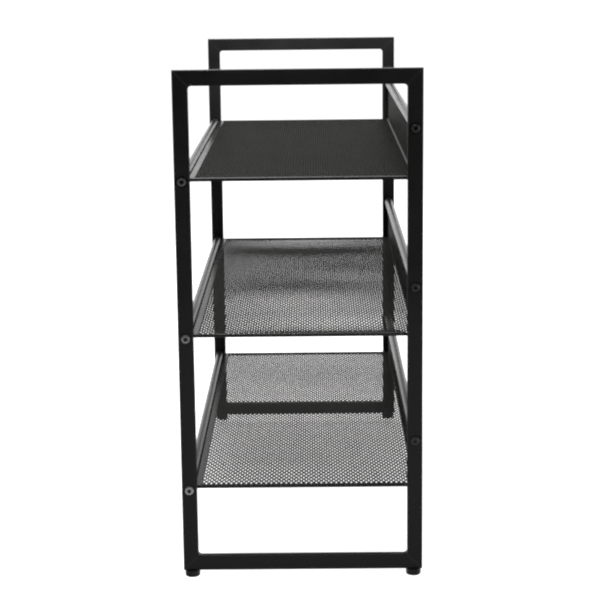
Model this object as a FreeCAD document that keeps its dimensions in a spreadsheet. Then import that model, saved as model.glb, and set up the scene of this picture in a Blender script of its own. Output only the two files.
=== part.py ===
import FreeCAD, Part

import math
import os
import re

import Sketcher

# A three-tier metal shoe rack. X runs along the shelves, from the left side frame to the right one,
# Y from the front (-Y) to the back (+Y), and Z up. The origin is on the floor, under the rack's
# middle. Two welded side frames are joined by six round rails, each held by a bolt at both ends. Each
# shelf is a folded sheet of expanded metal between a low front rail and a higher back rail.
# All sizes are millimetres.

SIZES = {
    "frame_length": (700, "outer face of one side frame to the other, along X"),
    "frame_depth": (300, "depth of a side frame, along Y"),
    "frame_top": (635, "top of the side frames above the floor"),
    "tube_face": (19, "broad side of the frame's rectangular tube"),
    "tube_thick": (10, "narrow side of the frame's tube, along X"),
    "tube_wall": (1.2, "wall of the frame's tube"),
    "tube_corner": (1, "outer corner radius of the frame's tube"),
    "weld_radius": (4.5, "radius of the weld in each inner corner of a frame"),
    "rail_diameter": (12, "outer diameter of a shelf rail"),
    "rail_wall": (1, "wall of a shelf rail"),
    "lowest_rail": (113, "height of the lowest front rail's axis"),
    "top_drop": (134, "top of the frame down to the top shelf's front rail axis"),
    "back_rise": (62, "height of a back rail above its front rail"),
    "floor_rise": (3, "height of a shelf's floor above its front rail's axis"),
    "sheet_thick": (0.6, "thickness of the mesh sheet"),
    "sheet_bend": (1.5, "inner radius of the mesh sheet's fold"),
    "wall_offset": (1, "back rail's axis to the front of the mesh's back wall"),
    "strip_reach": (14.5, "front rail's axis to the mesh sheet's front edge"),
    "strip_thick": (0.8, "thickness of the strip between rail and mesh"),
    "bar_width": (3, "width of the bar along the end of a mesh sheet"),
    "bar_deep": (4.3, "depth of that bar, from the mesh's upper face"),
    "bar_round": (2.2, "radius of that bar's upper outer edge"),
    "end_gap": (2, "gap between a shelf's end bar and the side frame"),
    "thread": (6, "thread size of the bolts and feet"),
    "thread_gap": (0.05, "radial gap between a thread and its nut"),
    "hole_gap": (0.3, "radial gap between a thread and a plain hole"),
    "head_diameter": (10.5, "diameter of a bolt's button head"),
    "head_rise": (3.3, "height of a bolt's button head"),
    "head_round": (2.4, "radius of a button head's edge"),
    "key_size": (4, "hexagon socket across flats"),
    "key_deep": (2, "depth of the hexagon socket"),
    "bolt_grip": (14, "length of bolt inside the rail"),
    "plug_length": (20, "length of the threaded plug in a rail's end"),
    "foot_inset": (11, "foot's axis from the frame's outer edge, along Y"),
    "foot_height": (8, "height of a foot's base, which holds the frame off the floor"),
    "foot_diameter": (19, "diameter of a foot's base"),
    "foot_edge": (1.5, "radius of the lower edge of a foot's base"),
    "stud_in_base": (5, "length of a foot's stud inside its base"),
    "stud_above": (18, "length of a foot's stud above its base"),
    "nut_height": (6, "height of the threaded block over a foot"),
    "nut_length": (12, "length of that block, along Y"),
}

# Lengths that follow from the sizes, as expressions.
SHELF_SPACING = "(frame_top - top_drop - lowest_rail) / 2"
FRAME_MIDDLE = "(frame_length / 2 - tube_thick / 2)"
RAIL_END = "(frame_length / 2 - tube_thick)"
SHEET_END = "(frame_length / 2 - tube_thick - end_gap - bar_width)"
RAIL_Y = "(frame_depth / 2 - tube_face / 2)"
WALL_Y = "(frame_depth / 2 - tube_face / 2 - wall_offset)"
FOOT_Y = "(frame_depth / 2 - foot_inset)"
STRIP_Y = "(strip_reach + tube_face / 2 - frame_depth / 2)"
RAIL_BORE = "(rail_diameter / 2 - rail_wall)"
THREAD_HOLE = "(thread / 2 + thread_gap)"
PLAIN_HOLE = "(thread / 2 + hole_gap)"

SIDES = {"right": 1, "left": -1}
ENDS = {"front": -1, "back": 1}
SHELVES = {"bottom": 0, "middle": 1, "top": 2}

# Each tube of a side frame runs between two of its corners, given as (across, up) signs.
TUBES = {
    "front_upright": ((-1, -1), (-1, 1)),
    "back_upright": ((1, -1), (1, 1)),
    "bottom_beam": ((-1, -1), (1, -1)),
    "top_beam": ((-1, 1), (1, 1)),
}

# The frame's corners with the quarter turns about X that bring a weld into each.
WELD_CORNERS = {(-1, -1): 0, (1, -1): 1, (1, 1): 2, (-1, 1): 3}


def rail_height(shelf, end):
    """Height of a rail's axis: shelf counts from 0 at the bottom, end is -1 at the front, 1 at the back."""
    rise = " + back_rise" if end > 0 else ""
    return f"(lowest_rail + {shelf} * {SHELF_SPACING}{rise})"


def floor_height(shelf):
    """Height of the upper face of a shelf's floor."""
    return f"({rail_height(shelf, -1)} + floor_rise)"


def frame_corner(across, up, inset):
    """A corner of the side frame's outline, moved diagonally inwards by inset."""
    height = f"frame_top - {inset}" if up > 0 else f"foot_height + {inset}"
    return f"{across} * (frame_depth / 2 - {inset})", height


# The document and its helpers.


def new_document():
    doc = FreeCAD.newDocument("ShoeRack")
    sheet = doc.addObject("Spreadsheet::Sheet", "Sizes")
    for row, (alias, (value, meaning)) in enumerate(SIZES.items(), start=1):
        sheet.set(f"A{row}", meaning)
        sheet.set(f"B{row}", str(value))
        sheet.setAlias(f"B{row}", alias)
    doc.recompute()
    return doc


def sized(expression):
    """The expression with each size's name written as a reference to its cell."""
    return re.sub(r"[a-z_]+", lambda word: f"Sizes.{word[0]}" if word[0] in SIZES else word[0], expression)


def value_of(doc, expression):
    """The number that an expression gives with the sheet's present sizes."""
    return float(doc.Sizes.evalExpression(sized(expression)))


def bind(thing, **expressions):
    for name, expression in expressions.items():
        thing.setExpression(name, sized(expression))


def place(thing, x="0", y="0", z="0", axis=(0, 0, 1), angle=0):
    turn = FreeCAD.Rotation(FreeCAD.Vector(*axis), angle)
    thing.Placement = FreeCAD.Placement(FreeCAD.Vector(), turn)
    for letter, expression in zip("xyz", (x, y, z)):
        thing.setExpression(f"Placement.Base.{letter}", sized(expression))
    return thing


def new_body(doc, label):
    body = doc.addObject("PartDesign::Body", "Body")
    body.Label = label
    return body


def group(doc, label, original, places):
    """A node of several equal solids: linked copies of one body, which places sets out."""
    copies = []
    for where in places:
        copy = doc.addObject("App::Link", "Copy")
        copy.LinkedObject = original
        copies.append(place(copy, **where))
    node = doc.addObject("Part::Compound", "Group")
    node.Label = label
    node.Links = copies
    return node


# Sketches and features.


def new_sketch(body, plane):
    sketch = body.newObject("Sketcher::SketchObject", "Sketch")
    origin_plane = next(o for o in body.Origin.OriginFeatures if o.Role == f"{plane}_Plane")
    sketch.AttachmentSupport = [origin_plane]
    sketch.MapMode = "FlatFace"
    return sketch


def set_size(sketch, expression, kind, *where):
    """Adds a constraint of one kind, whose value is an expression, to a sketch."""
    value = value_of(sketch.Document, expression)
    index = sketch.addConstraint(Sketcher.Constraint(kind, *where, value))
    bind(sketch, **{f"Constraints[{index}]": expression})


def fix_point(sketch, geometry, point, across, up):
    """Ties one point of a sketch to two expressions, measured from the sketch's origin."""
    set_size(sketch, across, "DistanceX", -1, 1, geometry, point)
    set_size(sketch, up, "DistanceY", -1, 1, geometry, point)


def point_at(doc, across, up):
    return FreeCAD.Vector(value_of(doc, across), value_of(doc, up))


def outline(body, plane, corners):
    """A closed outline of straight lines through corners, each a pair of expressions."""
    sketch = new_sketch(body, plane)
    points = [point_at(body.Document, *corner) for corner in corners]
    for start, finish in zip(points, points[1:] + points[:1]):
        sketch.addGeometry(Part.LineSegment(start, finish), False)
    for index, (across, up) in enumerate(corners):
        following = (index + 1) % len(corners)
        sketch.addConstraint(Sketcher.Constraint("Coincident", index, 2, following, 1))
        fix_point(sketch, index, 1, across, up)
    return sketch


def circles(body, plane, places):
    """Circles at places, each given as (across, up, radius) expressions."""
    sketch, doc, normal = new_sketch(body, plane), body.Document, FreeCAD.Vector(0, 0, 1)
    for across, up, radius in places:
        circle = Part.Circle(point_at(doc, across, up), normal, value_of(doc, radius))
        index = sketch.addGeometry(circle, False)
        fix_point(sketch, index, 3, across, up)
        set_size(sketch, radius, "Radius", index)
    return sketch


def feature(body, kind, sketch, length, direction):
    """A Pad or Pocket: direction is both, up or down, and up is the sketch plane's positive side."""
    made = body.newObject(f"PartDesign::{kind}", kind)
    made.Profile = sketch
    if direction == "both":
        made.SideType = "Symmetric"
    else:
        made.Reversed = (direction == "up") == (kind == "Pocket")
    bind(made, Length=length)
    return made


def round_edges(body, base, radius, wanted):
    """Fillets the edges of a feature for which wanted(edge) holds."""
    body.Document.recompute()
    names = [f"Edge{number}" for number, edge in enumerate(base.Shape.Edges, start=1) if wanted(edge)]
    fillet = body.newObject("PartDesign::Fillet", "Fillet")
    fillet.Base = (base, names)
    bind(fillet, Radius=radius)
    return fillet


def along(direction):
    """Picks the straight edges that run along a direction."""
    return lambda edge: abs(edge.tangentAt(edge.FirstParameter).dot(direction)) > 0.999


def through(corner):
    """Picks the edges along X that pass through a corner of a YZ sketch."""
    def holds(edge):
        ends = (FreeCAD.Vector(vertex.Point.y, vertex.Point.z) for vertex in edge.Vertexes)
        return all(end.isEqual(corner, 1e-6) for end in ends)
    return holds


def joining(corners, x):
    """Picks the edges between corners of a YZ sketch that lie at x."""
    def holds(edge):
        ends = [FreeCAD.Vector(vertex.Point.y, vertex.Point.z) for vertex in edge.Vertexes]
        level = all(abs(vertex.Point.x - x) < 1e-6 for vertex in edge.Vertexes)
        return level and all(any(end.isEqual(corner, 1e-6) for corner in corners) for end in ends)
    return holds


# The side frames.


def tube_outline(start, finish, outer, inner):
    """Mitred outline of a frame tube whose long edges lie outer and inner in from the frame's outside."""
    return [
        frame_corner(*start, outer),
        frame_corner(*finish, outer),
        frame_corner(*finish, inner),
        frame_corner(*start, inner),
    ]


def frame_tube(doc, side, piece):
    """A hollow tube of one side frame, mitred at both ends."""
    start, finish = TUBES[piece]
    body = new_body(doc, f"{side}_{piece}")
    outside = outline(body, "YZ", tube_outline(start, finish, "0", "tube_face"))
    solid = feature(body, "Pad", outside, "tube_thick", "both")
    upright = start[0] == finish[0]
    length = FreeCAD.Vector(0, 0, 1) if upright else FreeCAD.Vector(0, 1, 0)
    round_edges(body, solid, "tube_corner", along(length))
    inside = outline(body, "YZ", tube_outline(start, finish, "tube_wall", "(tube_face - tube_wall)"))
    feature(body, "Pocket", inside, "tube_thick - 2 * tube_wall", "both")
    if upright:
        drill_bolt_holes(body, start[0])
    elif piece == "bottom_beam":
        drill_foot_holes(body)
    return place(body, x=f"{SIDES[side]} * {FRAME_MIDDLE}")


def drill_bolt_holes(body, end):
    """A plain hole through an upright for the bolt of each shelf's rail."""
    places = [(f"{end} * {RAIL_Y}", rail_height(shelf, end), PLAIN_HOLE) for shelf in SHELVES.values()]
    feature(body, "Pocket", circles(body, "YZ", places), "2 * tube_thick", "both")


def drill_foot_holes(body):
    """A plain hole for each foot through the beam's lower wall."""
    places = [("0", f"{end} * {FOOT_Y}", PLAIN_HOLE) for end in ENDS.values()]
    feature(body, "Pocket", circles(body, "XY", places), "foot_height + 2 * tube_wall", "up")


def corner_weld(doc):
    """Weld metal that rounds an inner corner: two sides against the tubes and a hollow arc."""
    body = new_body(doc, "corner_weld")
    sketch = new_sketch(body, "YZ")
    radius = value_of(doc, "weld_radius")
    corner, across, up = FreeCAD.Vector(), FreeCAD.Vector(radius, 0), FreeCAD.Vector(0, radius)
    circle = Part.Circle(across + up, FreeCAD.Vector(0, 0, 1), radius)
    bottom = sketch.addGeometry(Part.LineSegment(corner, across), False)
    arc = sketch.addGeometry(Part.ArcOfCircle(circle, math.pi, 1.5 * math.pi), False)
    side = sketch.addGeometry(Part.LineSegment(up, corner), False)
    for pair in ((bottom, 2, arc, 2), (arc, 1, side, 1), (side, 2, bottom, 1)):
        sketch.addConstraint(Sketcher.Constraint("Coincident", *pair))
    fix_point(sketch, bottom, 1, "0", "0")
    fix_point(sketch, bottom, 2, "weld_radius", "0")
    fix_point(sketch, side, 1, "0", "weld_radius")
    set_size(sketch, "weld_radius", "Radius", arc)
    feature(body, "Pad", sketch, "tube_thick - 2 * tube_corner", "both")
    return body


def side_frame(doc, side, weld):
    for piece in TUBES:
        yield frame_tube(doc, side, piece)
    places = []
    for (across, up), quarter_turns in WELD_CORNERS.items():
        y, z = frame_corner(across, up, "tube_face")
        x = f"{SIDES[side]} * {FRAME_MIDDLE}"
        places.append(dict(x=x, y=y, z=z, axis=(1, 0, 0), angle=90 * quarter_turns))
    yield group(doc, f"{side}_corner_welds", weld, places)


# The shelves.


def rail(doc, name, shelf, end):
    """A round tube between the side frames."""
    body = new_body(doc, f"{name}_rail")
    ring = circles(body, "YZ", [("0", "0", "rail_diameter / 2"), ("0", "0", RAIL_BORE)])
    feature(body, "Pad", ring, f"2 * {RAIL_END}", "both")
    return place(body, y=f"{end} * {RAIL_Y}", z=rail_height(shelf, end))


def cope(body, shelf, ends):
    """Cuts a piece to fit round the shelf's rails at the given ends."""
    places = [(f"{end} * {RAIL_Y}", rail_height(shelf, end), "rail_diameter / 2") for end in ends]
    feature(body, "Pocket", circles(body, "YZ", places), "frame_length", "both")


def folded(front, shelf, thick):
    """Profile of a floor that turns up into a back wall, thick below and behind its inner face."""
    top, height = floor_height(shelf), rail_height(shelf, 1)
    return [
        (front, top),
        (WALL_Y, top),
        (WALL_Y, height),
        (f"{WALL_Y} + {thick}", height),
        (f"{WALL_Y} + {thick}", f"{top} - {thick}"),
        (front, f"{top} - {thick}"),
    ]


def mesh_sheet(doc, name, shelf):
    """Expanded metal as a plain sheet: the floor, the fold and the back wall under the back rail."""
    body = new_body(doc, f"{name}_mesh_sheet")
    profile = folded(STRIP_Y, shelf, "sheet_thick")
    solid = feature(body, "Pad", outline(body, "YZ", profile), f"2 * {SHEET_END}", "both")
    for corner, radius in ((profile[1], "sheet_bend"), (profile[4], "sheet_bend + sheet_thick")):
        solid = round_edges(body, solid, radius, through(point_at(doc, *corner)))
    cope(body, shelf, [1])
    return body


def end_bar(doc, name, side, shelf):
    """The bar that stiffens one end of a mesh sheet, along its floor and up its back wall."""
    body = new_body(doc, f"{name}_{side}_end_bar")
    profile = folded(f"-{RAIL_Y}", shelf, "bar_deep")
    bar = feature(body, "Pad", outline(body, "YZ", profile), "bar_width", "both")
    upper = [point_at(doc, *corner) for corner in profile[:3]]
    outward = SIDES[side] * value_of(doc, "bar_width / 2")
    round_edges(body, bar, "bar_round", joining(upper, outward))
    cope(body, shelf, [-1, 1])
    return place(body, x=f"{SIDES[side]} * ({SHEET_END} + bar_width / 2)")


def front_strip(doc, name, shelf):
    """The flat strip that joins a mesh sheet's front edge to the front rail."""
    body = new_body(doc, f"{name}_front_strip")
    top = floor_height(shelf)
    under = f"{top} - strip_thick"
    profile = [(f"-{RAIL_Y}", top), (STRIP_Y, top), (STRIP_Y, under), (f"-{RAIL_Y}", under)]
    feature(body, "Pad", outline(body, "YZ", profile), f"2 * {SHEET_END}", "both")
    cope(body, shelf, [-1])
    return body


def rail_plug(doc):
    """A threaded plug, from x = 0 at the rail's end inwards along -X."""
    body = new_body(doc, "rail_plug")
    ring = circles(body, "YZ", [("0", "0", RAIL_BORE), ("0", "0", THREAD_HOLE)])
    feature(body, "Pad", ring, "plug_length", "down")
    return body


def hexagon(across_flats):
    """Corners of a hexagon that stands on a corner."""
    side, high, low = f"({across_flats} / 2)", f"({across_flats} / sqrt(3))", f"({across_flats} / sqrt(12))"
    return [
        ("0", high),
        (side, low),
        (side, f"-{low}"),
        ("0", f"-{high}"),
        (f"-{side}", f"-{low}"),
        (f"-{side}", low),
    ]


def bolt(doc):
    """A button-head bolt with a hexagon socket, its head's seat at x = 0 and its thread along -X."""
    body = new_body(doc, "bolt")
    head = feature(body, "Pad", circles(body, "YZ", [("0", "0", "head_diameter / 2")]), "head_rise", "up")
    rise = value_of(doc, "head_rise")
    round_edges(body, head, "head_round", lambda edge: edge.BoundBox.XMin > rise / 2)
    feature(body, "Pad", circles(body, "YZ", [("0", "0", "thread / 2")]), "tube_thick + bolt_grip", "down")
    socket = outline(body, "YZ", hexagon("key_size"))
    bind(socket, **{"AttachmentOffset.Base.z": "head_rise"})
    feature(body, "Pocket", socket, "key_deep", "down")
    return body


def at_rail_ends(shelf, x):
    """Places at both ends of a shelf's two rails, x out from the rack's middle and facing outwards."""
    return [
        dict(x=f"{sign} * {x}", y=f"{end} * {RAIL_Y}", z=rail_height(shelf, end), angle=90 - 90 * sign)
        for sign in SIDES.values()
        for end in ENDS.values()
    ]


def shelf_pieces(doc, name, shelf, plug, screw):
    for end_name, end in ENDS.items():
        yield rail(doc, f"{name}_{end_name}", shelf, end)
    yield mesh_sheet(doc, name, shelf)
    yield front_strip(doc, name, shelf)
    for side in SIDES:
        yield end_bar(doc, name, side, shelf)
    yield group(doc, f"{name}_rail_plugs", plug, at_rail_ends(shelf, RAIL_END))
    yield group(doc, f"{name}_bolts", screw, at_rail_ends(shelf, "(frame_length / 2)"))


# The levelling feet.


def foot_base(doc, name, x, y):
    """A round base with a blind hole for its stud."""
    body = new_body(doc, f"{name}_foot_base")
    solid = feature(body, "Pad", circles(body, "XY", [("0", "0", "foot_diameter / 2")]), "foot_height", "up")
    height = value_of(doc, "foot_height")
    round_edges(body, solid, "foot_edge", lambda edge: edge.BoundBox.ZMax < height / 2)
    hole = circles(body, "XY", [("0", "0", THREAD_HOLE)])
    bind(hole, **{"AttachmentOffset.Base.z": "foot_height"})
    feature(body, "Pocket", hole, "stud_in_base", "down")
    return place(body, x=x, y=y)


def foot_stud(doc, name, x, y):
    """A threaded stud, from inside the base up through the beam's lower wall and the threaded block."""
    body = new_body(doc, f"{name}_foot_stud")
    feature(body, "Pad", circles(body, "XY", [("0", "0", "thread / 2")]), "stud_in_base + stud_above", "up")
    return place(body, x=x, y=y, z="foot_height - stud_in_base")


def foot_nut(doc):
    """A threaded block that fills the tube from wall to wall, its lower face at z = 0."""
    body = new_body(doc, "foot_nut")
    half_width, half_length = "(tube_thick / 2 - tube_wall)", "(nut_length / 2)"
    corners = [
        (f"-{half_width}", f"-{half_length}"),
        (half_width, f"-{half_length}"),
        (half_width, half_length),
        (f"-{half_width}", half_length),
    ]
    feature(body, "Pad", outline(body, "XY", corners), "nut_height", "up")
    feature(body, "Pocket", circles(body, "XY", [("0", "0", THREAD_HOLE)]), "nut_height", "up")
    return body


def feet(doc, nut):
    places = []
    for side, sign in SIDES.items():
        for end_name, end in ENDS.items():
            x, y = f"{sign} * {FRAME_MIDDLE}", f"{end} * {FOOT_Y}"
            yield foot_base(doc, f"{side}_{end_name}", x, y)
            yield foot_stud(doc, f"{side}_{end_name}", x, y)
            places.append(dict(x=x, y=y, z="foot_height + tube_wall"))
    yield group(doc, "foot_nuts", nut, places)


# The whole rack.


def shoe_rack(doc):
    """All the rack's nodes."""
    weld, plug, screw, nut = corner_weld(doc), rail_plug(doc), bolt(doc), foot_nut(doc)
    nodes = []
    for side in SIDES:
        nodes.extend(side_frame(doc, side, weld))
    for name, shelf in SHELVES.items():
        nodes.extend(shelf_pieces(doc, name, shelf, plug, screw))
    nodes.extend(feet(doc, nut))
    return nodes


def check(doc, nodes):
    """Stops if any object failed to build or any node isn't a sound shape."""
    failed = [thing.Label for thing in doc.Objects if {"Invalid", "Error"} & set(thing.State)]
    if failed:
        raise RuntimeError(f"failed to build: {failed}")
    for node in nodes:
        if node.Shape.isNull() or not node.Shape.isValid() or not node.Shape.Solids:
            raise RuntimeError(f"no sound shape: {node.Label}")


def main():
    doc = new_document()
    nodes = shoe_rack(doc)
    doc.recompute()
    check(doc, nodes)
    os.makedirs("parts", exist_ok=True)
    for node in nodes:
        node.Shape.exportStep(f"parts/{node.Label}.step")
        print(f"{node.Label}: {len(node.Shape.Solids)} solids, {node.Shape.Volume:.0f} mm3")


main()
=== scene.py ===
import math

import bpy
from mathutils import Matrix, Vector


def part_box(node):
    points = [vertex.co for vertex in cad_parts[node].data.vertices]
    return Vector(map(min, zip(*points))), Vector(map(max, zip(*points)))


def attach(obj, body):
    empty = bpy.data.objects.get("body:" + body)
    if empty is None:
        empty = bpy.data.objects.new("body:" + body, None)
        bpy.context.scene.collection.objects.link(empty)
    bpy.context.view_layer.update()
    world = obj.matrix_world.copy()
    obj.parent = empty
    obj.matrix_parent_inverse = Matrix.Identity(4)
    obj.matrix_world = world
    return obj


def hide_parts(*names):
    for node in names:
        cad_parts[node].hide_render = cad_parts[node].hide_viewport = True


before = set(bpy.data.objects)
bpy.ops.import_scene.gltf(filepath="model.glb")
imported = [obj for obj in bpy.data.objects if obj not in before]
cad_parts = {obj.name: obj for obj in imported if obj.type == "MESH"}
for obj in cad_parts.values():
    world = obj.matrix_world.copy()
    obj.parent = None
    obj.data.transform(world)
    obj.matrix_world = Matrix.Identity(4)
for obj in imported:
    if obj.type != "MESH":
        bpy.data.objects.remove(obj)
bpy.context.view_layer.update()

# The looks of a three-tier metal shoe rack: real expanded metal in place of the plain sheets, a dark
# rod of painted shade in the groove along each front rail, and a coating for every piece, some of them
# with painted highlights and painted shade. Lengths are in metres, in the CAD frame: X along the
# shelves, Y from front to back, Z up.

MM = 0.001
SHELVES = ("bottom", "middle", "top")
SIDES = ("right", "left")
ENDS = ("front", "back")
FRAME_PIECES = ("front_upright", "back_upright", "bottom_beam", "top_beam", "corner_welds")
ROOT = "rack"

# The expanded metal: a flattened sheet of diamonds whose long way runs along the shelf.
DIAMOND_LONG = 12.6 * MM
DIAMOND_SHORT = 6.3 * MM
SHEET_THICK = 1.5 * MM
TIP_GAP = 1.4 * MM  # metal left between two openings in line along the shelf
BOND_LONG = 3.6 * MM  # length of the bond between two openings side by side
BOND_HALF = 1.74 * MM  # half the width of that bond
SHEET_BEND = 1.5 * MM  # inner radius of the fold
TUCK = 0.8 * MM  # how far the sheet's cut edges run into the pieces that hold them

# The sheets aren't quite flat. Each dent is a smooth rise or dip: its place along and across the shelf,
# how far it stands up, and its spread along and across, in millimetres.
DENTS = {
    "bottom": [
        (-250, 30, -1.5, 60, 100),
        (262, -35, 0.9, 28, 50),
    ],
    "middle": [
        (-270, 10, -4.0, 42, 90),
        (-45, 70, 1.2, 40, 50),
        (112, 0, 3.6, 55, 80),
        (300, 50, -2.8, 32, 70),
    ],
    "top": [
        (-200, -40, -0.8, 70, 80),
        (150, 30, 0.6, 80, 70),
    ],
}
DENT_FADE = 20 * MM  # the sheets lie flat where they are held, within this of an edge

# A dark rod in the groove between a front rail and its strip: painted shade, standing in for the
# groove's shadow.
SHADE_ROD_DIAMETER = 2.4 * MM
SHADE_ROD_PROUD = 0.5 * MM  # above the strip
SHADE_ROD_INSET = 1 * MM  # from the rail's ends
SHADE_ROD_SIDES = 12

# Marks in the coats: painted shade and painted highlights, and on the bolt heads wear as well. A span
# is how far from its line a mark is full, and how far from it the mark ends.
BOLT_RADIUS = 5.25 * MM
# Painted shade: a dark ring on the tubes round each bolt's head.
BOLT_SHADE_SPAN = (BOLT_RADIUS + 1.2 * MM, BOLT_RADIUS + 3.2 * MM)  # from a bolt's axis
BOLT_SHADE_GREY = 0.0008
SOCKET_SPAN = (2.2 * MM, 2.9 * MM)  # from a bolt's axis
# Painted shade in each bolt's hex socket.
SOCKET_SHADE_GREY = 0.001
MITRE_SPAN = (0.5 * MM, 1.0 * MM)  # from a mitre, along Y or Z
# Painted highlight along each mitre, for the shine of a weld ridge.
MITRE_HIGHLIGHT_GREY = 0.026
FOLD_SPAN = (1.0 * MM, 1.8 * MM)  # from the fold's line
# Painted highlight along the top sheet's fold.
FOLD_HIGHLIGHT_GREY = 0.16
# Grey on the bolt heads' domes: partly wear, partly a painted highlight of their sheen.
WEAR_AND_SHEEN_GREY = 0.3
BACK_WEAR_AND_SHEEN = 0.06  # of the back bolts, as a share of the front ones'
FRONT_TO_BACK = (-0.1, 0.1)  # the Y where the one changes to the other
UPPER_WEAR_AND_SHEEN = 0.12  # of the highest bolts, as a share of the lowest ones'
LOW_TO_HIGH = (0.12, 0.48)  # the Z over which it falls
THREAD_PITCH = 1 * MM
THREAD_DEPTH = 0.3 * MM

# Nodes: nearly all of a noise's values lie in this span, and a colour mix has these sockets.
NOISE_SPAN = (0.3, 0.7)
MIX_COLOURS = (6, 7)
MIX_RESULT = 2

# The studio.
WHITE = (1, 1, 1)
FOOT_TRAVEL = 8 * MM  # how far a foot screws out: the floor lies clear of that
STUDIO_REACH = 28  # from the middle to the backdrop, near enough for every view to see it
FLOOR_GLOW = 0.97  # strength of the floor's own light
WALL_STRENGTH = 1.3  # beyond the far end
ROOM_STRENGTH = 0.06  # behind the camera
WALL_TO_ROOM = (-0.6, 0.2)  # the X of a direction where the one fades into the other
ABOVE_SHARE = 0.3  # of the strength at the horizon that is left above it
HORIZON_TO_ABOVE = (0.12, 0.32)  # the Z of a direction where it fades
RACK_MIDDLE = (0, 0, 0.3)
PIXEL_FILTER = 2.3  # in pixels, as soft as the photograph

# The camera, fitted to the photograph's view along the shelves from one end.
CAMERA_PLACE = Vector((2.262, 0.0177, 0.772))
CAMERA_YAW = math.radians(-0.507)
CAMERA_PITCH = math.radians(10.6)
CAMERA_ROLL = math.radians(-0.65)
CAMERA_LENS = 96.36
CAMERA_SENSOR = 36
CAMERA_SHIFT = -0.08


def added(name, data):
    """A new object in the scene."""
    item = bpy.data.objects.new(name, data)
    bpy.context.scene.collection.objects.link(item)
    return item


def added_mesh(name, vertices, faces, material):
    """A new piece in the scene, of one material."""
    mesh = bpy.data.meshes.new(name)
    mesh.from_pydata(vertices, [], faces)
    mesh.validate()
    mesh.materials.append(material)
    return added(name, mesh)


# Expanded metal.


def folded_line(name):
    """The middle line of a shelf's sheet, seen from its end: across the floor, round the fold, up.

    Returns a function from the distance along it to its place and normal in the YZ plane, the
    length of its level part and its whole length. Its upper face is the CAD sheet's upper face.
    """
    low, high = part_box(f"{name}_mesh_sheet")
    floor_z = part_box(f"{name}_front_strip")[1].z
    inner_y = high.y - (floor_z - low.z)
    start_y = low.y - TUCK
    radius = SHEET_BEND + SHEET_THICK / 2
    level = inner_y - SHEET_BEND - start_y
    turn = radius * math.pi / 2
    rise = high.z + TUCK - floor_z - SHEET_BEND

    def place(along):
        angle = min(max((along - level) / radius, 0), math.pi / 2)
        past = max(along - level - turn, 0)
        y = start_y + min(along, level) + radius * math.sin(angle)
        z = floor_z - SHEET_THICK / 2 + radius * (1 - math.cos(angle)) + past
        return y, z, -math.sin(angle), math.cos(angle)

    return place, level, level + turn + rise


def diamonds(columns, rows, long_step, short_step):
    """Flat faces of the metal round staggered openings: corners as (along, across), and faces."""
    offsets = {
        "west": (-TIP_GAP / 2, 0),
        "south_west": (-BOND_LONG / 2, -BOND_HALF),
        "south_east": (BOND_LONG / 2, -BOND_HALF),
        "east": (TIP_GAP / 2, 0),
        "north_east": (BOND_LONG / 2, BOND_HALF),
        "north_west": (-BOND_LONG / 2, BOND_HALF),
    }
    corners = {}
    faces = []

    def corner(column, row, name):
        along = column * long_step + offsets[name][0]
        across = row * short_step + offsets[name][1]
        key = (column, row, name)
        corners[key] = (min(max(along, 0), columns * long_step), min(max(across, 0), rows * short_step))
        return key

    for row in range(rows + 1):
        for column in range(row % 2, columns + 1, 2):
            faces.append([corner(column, row, name) for name in offsets])
            if column < columns and row < rows:
                faces.append([
                    corner(column, row, "east"),
                    corner(column + 1, row + 1, "south_west"),
                    corner(column + 1, row + 1, "west"),
                    corner(column, row, "north_east"),
                ])
            if column < columns and row > 0:
                faces.append([
                    corner(column, row, "south_east"),
                    corner(column + 1, row - 1, "west"),
                    corner(column + 1, row - 1, "north_west"),
                    corner(column, row, "east"),
                ])
    return corners, faces


def dented(name, x, y, edge):
    """How far a sheet stands off its flat place, at a place that is edge from what holds it."""
    lift = sum(
        rise * math.exp(-(((x / MM - along) / long) ** 2 + ((y / MM - across) / wide) ** 2) / 2)
        for along, across, rise, long, wide in DENTS[name]
    )
    held = min(max(edge / DENT_FADE, 0), 1)
    return lift * MM * held * held * (3 - 2 * held)


def thickened(points, faces):
    """Both sides and the cut edges of a sheet: points are pairs (lower, upper) by key."""
    order = {key: index for index, key in enumerate(points)}
    count = len(order)
    vertices = [pair[0] for pair in points.values()] + [pair[1] for pair in points.values()]
    made = []
    edges = {}
    for face in faces:
        ring = [order[key] for key in face]
        made.append([index + count for index in ring])
        made.append(list(reversed(ring)))
        edges.update(dict.fromkeys(zip(ring, ring[1:] + ring[:1])))
    for here, there in edges:
        if (there, here) not in edges:
            made.append([here, there, there + count, here + count])
    return vertices, made


def expanded_metal(name, material):
    """A folded sheet of expanded metal that stands for the CAD's plain sheet."""
    place, level, length = folded_line(name)
    low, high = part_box(f"{name}_mesh_sheet")
    width = high.x - low.x + 2 * TUCK
    columns = 2 * round(width / DIAMOND_LONG)
    rows = round(length / (DIAMOND_SHORT / 2))
    corners, faces = diamonds(columns, rows, width / columns, length / rows)
    points = {}
    for key, (along, across) in corners.items():
        y, z, normal_y, normal_z = place(across)
        x = low.x - TUCK + along
        lift = dented(name, x, y, min(along, width - along, across, level - across))
        points[key] = [
            (x, y + normal_y * out, z + normal_z * out)
            for out in (lift - SHEET_THICK / 2, lift + SHEET_THICK / 2)
        ]
    vertices, made = thickened(points, faces)
    piece = added_mesh(f"{name}_expanded_metal", vertices, made, material)
    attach(piece, ROOT)
    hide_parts(f"{name}_mesh_sheet")


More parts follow.
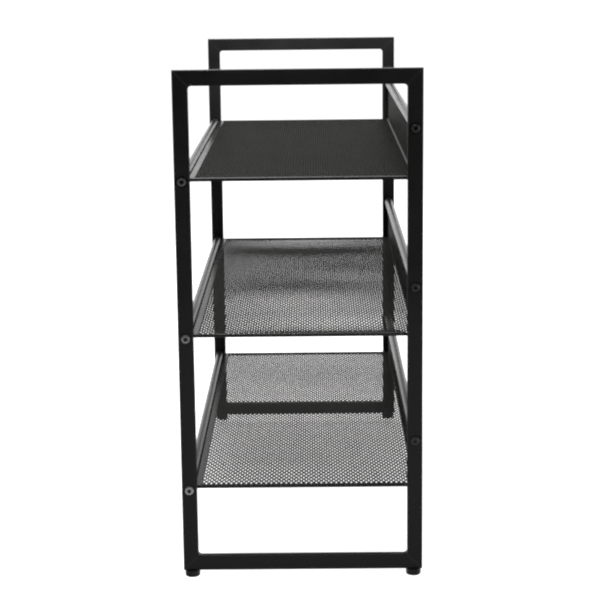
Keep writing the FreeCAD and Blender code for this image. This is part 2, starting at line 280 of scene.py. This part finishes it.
def front_groove_shade(name, material):
    """A dark dull rod in the groove between a shelf's front rail and its strip: painted shade for the
    groove's shadow.
    """
    strip_low, strip_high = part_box(f"{name}_front_strip")
    rail_low, rail_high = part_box(f"{name}_front_rail")
    radius = SHADE_ROD_DIAMETER / 2
    middle_y = strip_low.y + radius
    middle_z = strip_high.z - radius + SHADE_ROD_PROUD
    angles = [2 * math.pi * turn / SHADE_ROD_SIDES for turn in range(SHADE_ROD_SIDES)]
    vertices = [
        (x, middle_y + radius * math.cos(angle), middle_z + radius * math.sin(angle))
        for x in (rail_low.x + SHADE_ROD_INSET, rail_high.x - SHADE_ROD_INSET)
        for angle in angles
    ]
    faces = []
    for here in range(SHADE_ROD_SIDES):
        there = (here + 1) % SHADE_ROD_SIDES
        faces.append([here, there, there + SHADE_ROD_SIDES, here + SHADE_ROD_SIDES])
    faces.append(list(reversed(range(SHADE_ROD_SIDES))))
    faces.append(list(range(SHADE_ROD_SIDES, 2 * SHADE_ROD_SIDES)))
    piece = added_mesh(f"{name}_front_groove_shade", vertices, faces, material)
    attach(piece, ROOT)


# Nodes.


def inside(material):
    """A material's node tree and its shader."""
    tree = material.node_tree
    return tree, next(node for node in tree.nodes if node.type == "BSDF_PRINCIPLED")


def new_material(name):
    """A new material, its node tree and its shader."""
    material = bpy.data.materials.new(name)
    material.use_nodes = True
    return material, *inside(material)


def grey(level):
    return (level, level, level)


def object_noise(tree, scale, detail):
    """Noise fixed to the object's own coordinates, its scale per metre."""
    place = tree.nodes.new("ShaderNodeTexCoord")
    noise = tree.nodes.new("ShaderNodeTexNoise")
    noise.inputs["Scale"].default_value = scale
    noise.inputs["Detail"].default_value = detail
    tree.links.new(place.outputs["Object"], noise.inputs["Vector"])
    return noise.outputs["Fac"]


def mapped(tree, value, results, span=NOISE_SPAN):
    """A value in a span moved to the same place between two results, and held beyond the span."""
    node = tree.nodes.new("ShaderNodeMapRange")
    for socket, number in zip(("From Min", "From Max", "To Min", "To Max"), (*span, *results)):
        node.inputs[socket].default_value = number
    tree.links.new(value, node.inputs["Value"])
    return node.outputs["Result"]


def calculated(tree, operation, *values):
    """One step of arithmetic on numbers or sockets."""
    node = tree.nodes.new("ShaderNodeMath")
    node.operation = operation
    for socket, value in zip(node.inputs, values):
        if isinstance(value, (int, float)):
            socket.default_value = value
        else:
            tree.links.new(value, socket)
    return node.outputs["Value"]


def mixed_colour(tree, factor, *colours):
    """Two colours, each a tuple or a socket, mixed by factor."""
    node = tree.nodes.new("ShaderNodeMix")
    node.data_type = "RGBA"
    tree.links.new(factor, node.inputs["Factor"])
    for index, colour in zip(MIX_COLOURS, colours):
        if isinstance(colour, tuple):
            node.inputs[index].default_value = (*colour, 1)
        else:
            tree.links.new(colour, node.inputs[index])
    return node.outputs[MIX_RESULT]


def bumped(tree, height, strength, distance):
    """The normal of a surface whose height varies."""
    node = tree.nodes.new("ShaderNodeBump")
    node.inputs["Strength"].default_value = strength
    node.inputs["Distance"].default_value = distance
    tree.links.new(height, node.inputs["Height"])
    return node.outputs["Normal"]


def object_axes(tree):
    """The object's own X, Y and Z at a point."""
    place = tree.nodes.new("ShaderNodeTexCoord")
    parts = tree.nodes.new("ShaderNodeSeparateXYZ")
    tree.links.new(place.outputs["Object"], parts.inputs["Vector"])
    return [parts.outputs[axis] for axis in "XYZ"]


def distance_from(tree, lines):
    """How far a point is from the nearest of some lines along X, each given as (y, z)."""
    place = tree.nodes.new("ShaderNodeTexCoord")
    flat = tree.nodes.new("ShaderNodeVectorMath")
    flat.operation = "MULTIPLY"
    flat.inputs[1].default_value = (0, 1, 1)
    tree.links.new(place.outputs["Object"], flat.inputs[0])
    nearest = None
    for y, z in lines:
        span = tree.nodes.new("ShaderNodeVectorMath")
        span.operation = "DISTANCE"
        span.inputs[1].default_value = (0, y, z)
        tree.links.new(flat.outputs["Vector"], span.inputs[0])
        distance = span.outputs["Value"]
        nearest = distance if nearest is None else calculated(tree, "MINIMUM", nearest, distance)
    return nearest


# Materials.


def powder_coat(name, dark, light, rough, specular, uneven=0.02):
    """Powder coat between a dark and a light colour: fine orange peel, uneven colour and gloss."""
    material, tree, shader = new_material(name)
    patches = object_noise(tree, scale=18, detail=4)
    grain = object_noise(tree, scale=900, detail=2)
    colour = mixed_colour(tree, mapped(tree, patches, (0, 1)), dark, light)
    roughness = mapped(tree, patches, (rough - uneven, rough + uneven))
    normal = bumped(tree, grain, strength=0.12, distance=0.05 * MM)
    tree.links.new(colour, shader.inputs["Base Color"])
    tree.links.new(roughness, shader.inputs["Roughness"])
    tree.links.new(normal, shader.inputs["Normal"])
    shader.inputs["Specular IOR Level"].default_value = specular
    return material


def moulded_plastic(name):
    """Black plastic with a fine grain."""
    material, tree, shader = new_material(name)
    grain = object_noise(tree, scale=2500, detail=2)
    colour = mixed_colour(tree, mapped(tree, grain, (0, 1)), grey(0.006), grey(0.012))
    normal = bumped(tree, grain, strength=0.4, distance=0.04 * MM)
    tree.links.new(colour, shader.inputs["Base Color"])
    tree.links.new(mapped(tree, grain, (0.45, 0.6)), shader.inputs["Roughness"])
    tree.links.new(normal, shader.inputs["Normal"])
    return material


def plated_steel(name):
    """Bright zinc-plated steel, a little patchy."""
    material, tree, shader = new_material(name)
    patches = object_noise(tree, scale=300, detail=4)
    colour = mixed_colour(tree, patches, (0.42, 0.42, 0.43), (0.62, 0.62, 0.6))
    tree.links.new(colour, shader.inputs["Base Color"])
    tree.links.new(mapped(tree, patches, (0.25, 0.45)), shader.inputs["Roughness"])
    shader.inputs["Metallic"].default_value = 1.0
    return material


def threaded_steel(name):
    """Plated steel with a thread's ridges across its upright axis."""
    material = plated_steel(name)
    tree, shader = inside(material)
    up = object_axes(tree)[2]
    turns = calculated(tree, "MULTIPLY", up, 2 * math.pi / THREAD_PITCH)
    ridges = calculated(tree, "SINE", turns)
    normal = bumped(tree, ridges, strength=1.0, distance=THREAD_DEPTH)
    tree.links.new(normal, shader.inputs["Normal"])
    return material


def recoloured(material, factor, colour):
    """Mixes one more colour into a material's base colour, by factor."""
    tree, shader = inside(material)
    before = shader.inputs["Base Color"].links[0].from_socket
    tree.links.new(mixed_colour(tree, factor, before, colour), shader.inputs["Base Color"])


def with_painted_mitre_highlights(material):
    """Painted highlights: paler, patchy lines along the frames' mitres, standing in for the shine of
    the weld ridges.
    """
    tree = material.node_tree
    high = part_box("right_top_beam")[1]
    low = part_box("right_bottom_beam")[0]
    across, up = object_axes(tree)[1:]
    outward = calculated(tree, "ABSOLUTE", across)
    offsets = []
    for slope, corner in (("SUBTRACT", high.y - high.z), ("ADD", high.y + low.z)):
        along_slope = calculated(tree, slope, outward, up)
        offset = calculated(tree, "SUBTRACT", along_slope, corner)
        offsets.append(calculated(tree, "ABSOLUTE", offset))
    painted_light_line = mapped(tree, calculated(tree, "MINIMUM", *offsets), (1, 0), MITRE_SPAN)
    patchy = mapped(tree, object_noise(tree, scale=120, detail=2), (0.35, 1))
    # The painted highlight along the mitres.
    recoloured(material, calculated(tree, "MULTIPLY", painted_light_line, patchy), grey(MITRE_HIGHLIGHT_GREY))


def bolt_axes():
    """Where the bolts' axes cross a side frame, as (y, z): each shelf has one in each end's upright."""
    axes = []
    for name in SHELVES:
        low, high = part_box(f"{name}_bolts")
        axes.append((low.y + BOLT_RADIUS, low.z + BOLT_RADIUS))
        axes.append((high.y - BOLT_RADIUS, high.z - BOLT_RADIUS))
    return axes


def with_painted_bolt_shade(material):
    """Painted shade: a dark ring in the tubes' coat round each bolt's head."""
    tree = material.node_tree
    bolt_shade = mapped(tree, distance_from(tree, bolt_axes()), (1, 0), BOLT_SHADE_SPAN)
    # The painted shade round the bolt heads.
    recoloured(material, bolt_shade, grey(BOLT_SHADE_GREY))


def with_wear_and_sheen(material):
    """Bolt heads greyed round their sockets, partly wear and partly painted highlight of the domes'
    sheen: most on the front bolts, and more lower down. The sockets are darkened with painted shade.
    """
    tree = material.node_tree
    across, up = object_axes(tree)[1:]
    front = mapped(tree, across, (1, BACK_WEAR_AND_SHEEN), FRONT_TO_BACK)
    lower = mapped(tree, up, (1, UPPER_WEAR_AND_SHEEN), LOW_TO_HIGH)
    crown = mapped(tree, distance_from(tree, bolt_axes()), (0, 1), SOCKET_SPAN)
    patchy = mapped(tree, object_noise(tree, scale=260, detail=2), (0.7, 1))
    wear_and_sheen = calculated(tree, "MULTIPLY", calculated(tree, "MULTIPLY", front, lower), patchy)
    # Grey on the domes, partly wear and partly painted highlight.
    recoloured(material, calculated(tree, "MULTIPLY", wear_and_sheen, crown), grey(WEAR_AND_SHEEN_GREY))
    # Painted shade in the sockets.
    recoloured(material, calculated(tree, "SUBTRACT", 1, crown), grey(SOCKET_SHADE_GREY))


def with_painted_fold_highlight(material):
    """A painted highlight: a paler line along the fold of the top shelf's sheet."""
    tree = material.node_tree
    fold_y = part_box("top_mesh_sheet")[1].y - SHEET_BEND
    fold_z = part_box("top_front_strip")[1].z
    fold = mapped(tree, distance_from(tree, [(fold_y, fold_z)]), (1, 0), FOLD_SPAN)
    # The painted highlight along the fold.
    recoloured(material, fold, grey(FOLD_HIGHLIGHT_GREY))


def mesh_coat():
    """The sheets' coat: dull and slightly warm, with a painted highlight along the fold."""
    material = powder_coat(
        "mesh_coat",
        dark=(0.006, 0.006, 0.005),
        light=(0.010, 0.010, 0.0085),
        rough=0.55,
        specular=0.12,
    )
    with_painted_fold_highlight(material)
    shader = inside(material)[1]
    shader.inputs["Specular Tint"].default_value = (1.0, 0.98, 0.86, 1)
    return material


def coat(material, *names):
    """Puts a material on CAD pieces, in place of the one that they have."""
    for name in names:
        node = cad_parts[name]
        node.data.materials.clear()
        node.data.materials.append(material)


def finish_pieces():
    """Every piece's coat, and the sheets and the dark rods of painted shade that only this script
    makes.
    """
    tube = powder_coat("tube_coat", grey(0.0035), grey(0.007), rough=0.4, specular=0.45, uneven=0.05)
    with_painted_mitre_highlights(tube)
    with_painted_bolt_shade(tube)
    rail = powder_coat("rail_coat", grey(0.006), grey(0.010), rough=0.28, specular=0.5)
    mesh = mesh_coat()
    bar = powder_coat("bar_coat", grey(0.006), grey(0.010), rough=0.27, specular=0.5)
    # Painted shade: a dark coat with no gloss for the rods that stand in for the front grooves' shadow.
    painted_light_line = powder_coat("painted_groove_shade", grey(0.002), grey(0.004), rough=0.9, specular=0.0)
    oxide = powder_coat("bolt_oxide", grey(0.012), grey(0.022), rough=0.3, specular=0.5)
    with_wear_and_sheen(oxide)
    steel = plated_steel("plated_steel")
    thread = threaded_steel("threaded_steel")
    plastic = moulded_plastic("foot_plastic")
    for side in SIDES:
        coat(tube, *(f"{side}_{piece}" for piece in FRAME_PIECES))
        for end in ENDS:
            coat(plastic, f"{side}_{end}_foot_base")
            coat(thread, f"{side}_{end}_foot_stud")
    coat(steel, "foot_nuts")
    for name in SHELVES:
        coat(rail, f"{name}_front_rail", f"{name}_back_rail")
        coat(bar, f"{name}_front_strip", f"{name}_right_end_bar", f"{name}_left_end_bar")
        coat(steel, f"{name}_rail_plugs")
        coat(oxide, f"{name}_bolts")
        expanded_metal(name, mesh)
        # A dark rod of painted shade in each front groove.
        front_groove_shade(name, painted_light_line)


# The studio.


def plain_material(name, colour, glow):
    """A dull surface that also shines white by itself."""
    material, tree, shader = new_material(name)
    shader.inputs["Base Color"].default_value = (*colour, 1)
    shader.inputs["Roughness"].default_value = 0.9
    shader.inputs["Specular IOR Level"].default_value = 0.1
    shader.inputs["Emission Color"].default_value = (*WHITE, 1)
    shader.inputs["Emission Strength"].default_value = glow
    return material


def square(reach, z):
    """Four corners round the middle, at one height."""
    return [(-reach, -reach, z), (reach, -reach, z), (reach, reach, z), (-reach, reach, z)]


def studio_floor():
    """A white floor below the feet, even when they are screwed right out."""
    material = plain_material("studio_floor", grey(0.8), FLOOR_GLOW)
    floor = added_mesh("studio_floor", square(STUDIO_REACH, -FOOT_TRAVEL), [(0, 1, 2, 3)], material)
    floor.visible_glossy = False


def studio_backdrop():
    """A white surround that only the camera sees: it neither lights the rack nor shows in its gloss."""
    corners = square(STUDIO_REACH, -STUDIO_REACH) + square(STUDIO_REACH, STUDIO_REACH)
    walls = [(0, 1, 5, 4), (1, 2, 6, 5), (2, 3, 7, 6), (3, 0, 4, 7), (4, 5, 6, 7)]
    material = plain_material("studio_backdrop", grey(0), 1.0)
    backdrop = added_mesh("studio_backdrop", corners, walls, material)
    backdrop.visible_diffuse = False
    backdrop.visible_glossy = False
    backdrop.visible_transmission = False
    backdrop.visible_volume_scatter = False
    backdrop.visible_shadow = False


def studio_light():
    """White light from beyond the far end, fading to a dim room behind the camera and higher up."""
    world = bpy.data.worlds.new("studio")
    bpy.context.scene.world = world
    world.use_nodes = True
    tree = world.node_tree
    place = tree.nodes.new("ShaderNodeTexCoord")
    parts = tree.nodes.new("ShaderNodeSeparateXYZ")
    tree.links.new(place.outputs["Generated"], parts.inputs["Vector"])
    along = mapped(tree, parts.outputs["X"], (WALL_STRENGTH, ROOM_STRENGTH), WALL_TO_ROOM)
    height = mapped(tree, parts.outputs["Z"], (1, ABOVE_SHARE), HORIZON_TO_ABOVE)
    background = tree.nodes["Background"]
    tree.links.new(calculated(tree, "MULTIPLY", along, height), background.inputs["Strength"])
    background.inputs["Color"].default_value = (*WHITE, 1)


def aimed(data, place, target):
    """A light in the scene, at a place and turned towards a target."""
    light = added(data.name, data)
    light.location = place
    light.rotation_euler = (Vector(target) - Vector(place)).to_track_quat("-Z", "Y").to_euler()
    return light


def soft_light(name, place, target, size, power):
    """A square light that the camera doesn't see."""
    data = bpy.data.lights.new(name, "AREA")
    data.shape = "SQUARE"
    data.size = size
    data.energy = power
    aimed(data, place, target).visible_camera = False


def far_end_light():
    """A narrow soft beam from above the camera, over the near frame, on the far frame's top."""
    data = bpy.data.lights.new("far_end_light", "SPOT")
    data.energy = 260
    data.spot_size = math.radians(11)
    data.spot_blend = 1.0
    data.shadow_soft_size = 0.15
    aimed(data, place=(2.5, 0, 2.0), target=(-0.35, 0, 0.62))


def studio():
    bpy.context.scene.view_settings.view_transform = "Standard"
    bpy.context.scene.cycles.filter_width = PIXEL_FILTER
    studio_floor()
    studio_backdrop()
    studio_light()
    soft_light("top_light", (-0.6, -0.5, 3.0), RACK_MIDDLE, size=3.0, power=120)
    soft_light("back_light", (0.3, 3.2, 1.3), RACK_MIDDLE, size=4.0, power=50)
    soft_light("near_floor_light", (0.85, 0, 0.01), (0.35, 0, 0.15), size=0.5, power=0.3)
    far_end_light()


def camera():
    data = bpy.data.cameras.new("camera")
    data.lens = CAMERA_LENS
    data.sensor_width = CAMERA_SENSOR
    data.shift_y = CAMERA_SHIFT
    forward = Vector((
        -math.cos(CAMERA_YAW) * math.cos(CAMERA_PITCH),
        math.sin(CAMERA_YAW) * math.cos(CAMERA_PITCH),
        -math.sin(CAMERA_PITCH),
    ))
    level_right = forward.cross(Vector((0, 0, 1))).normalized()
    level_up = level_right.cross(forward)
    right = level_right * math.cos(CAMERA_ROLL) + level_up * math.sin(CAMERA_ROLL)
    up = right.cross(forward)
    made = added("camera", data)
    turn = Matrix((right, up, -forward)).transposed()
    made.matrix_world = Matrix.Translation(CAMERA_PLACE) @ turn.to_4x4()
    bpy.context.scene.camera = made


finish_pieces()
studio()
camera()
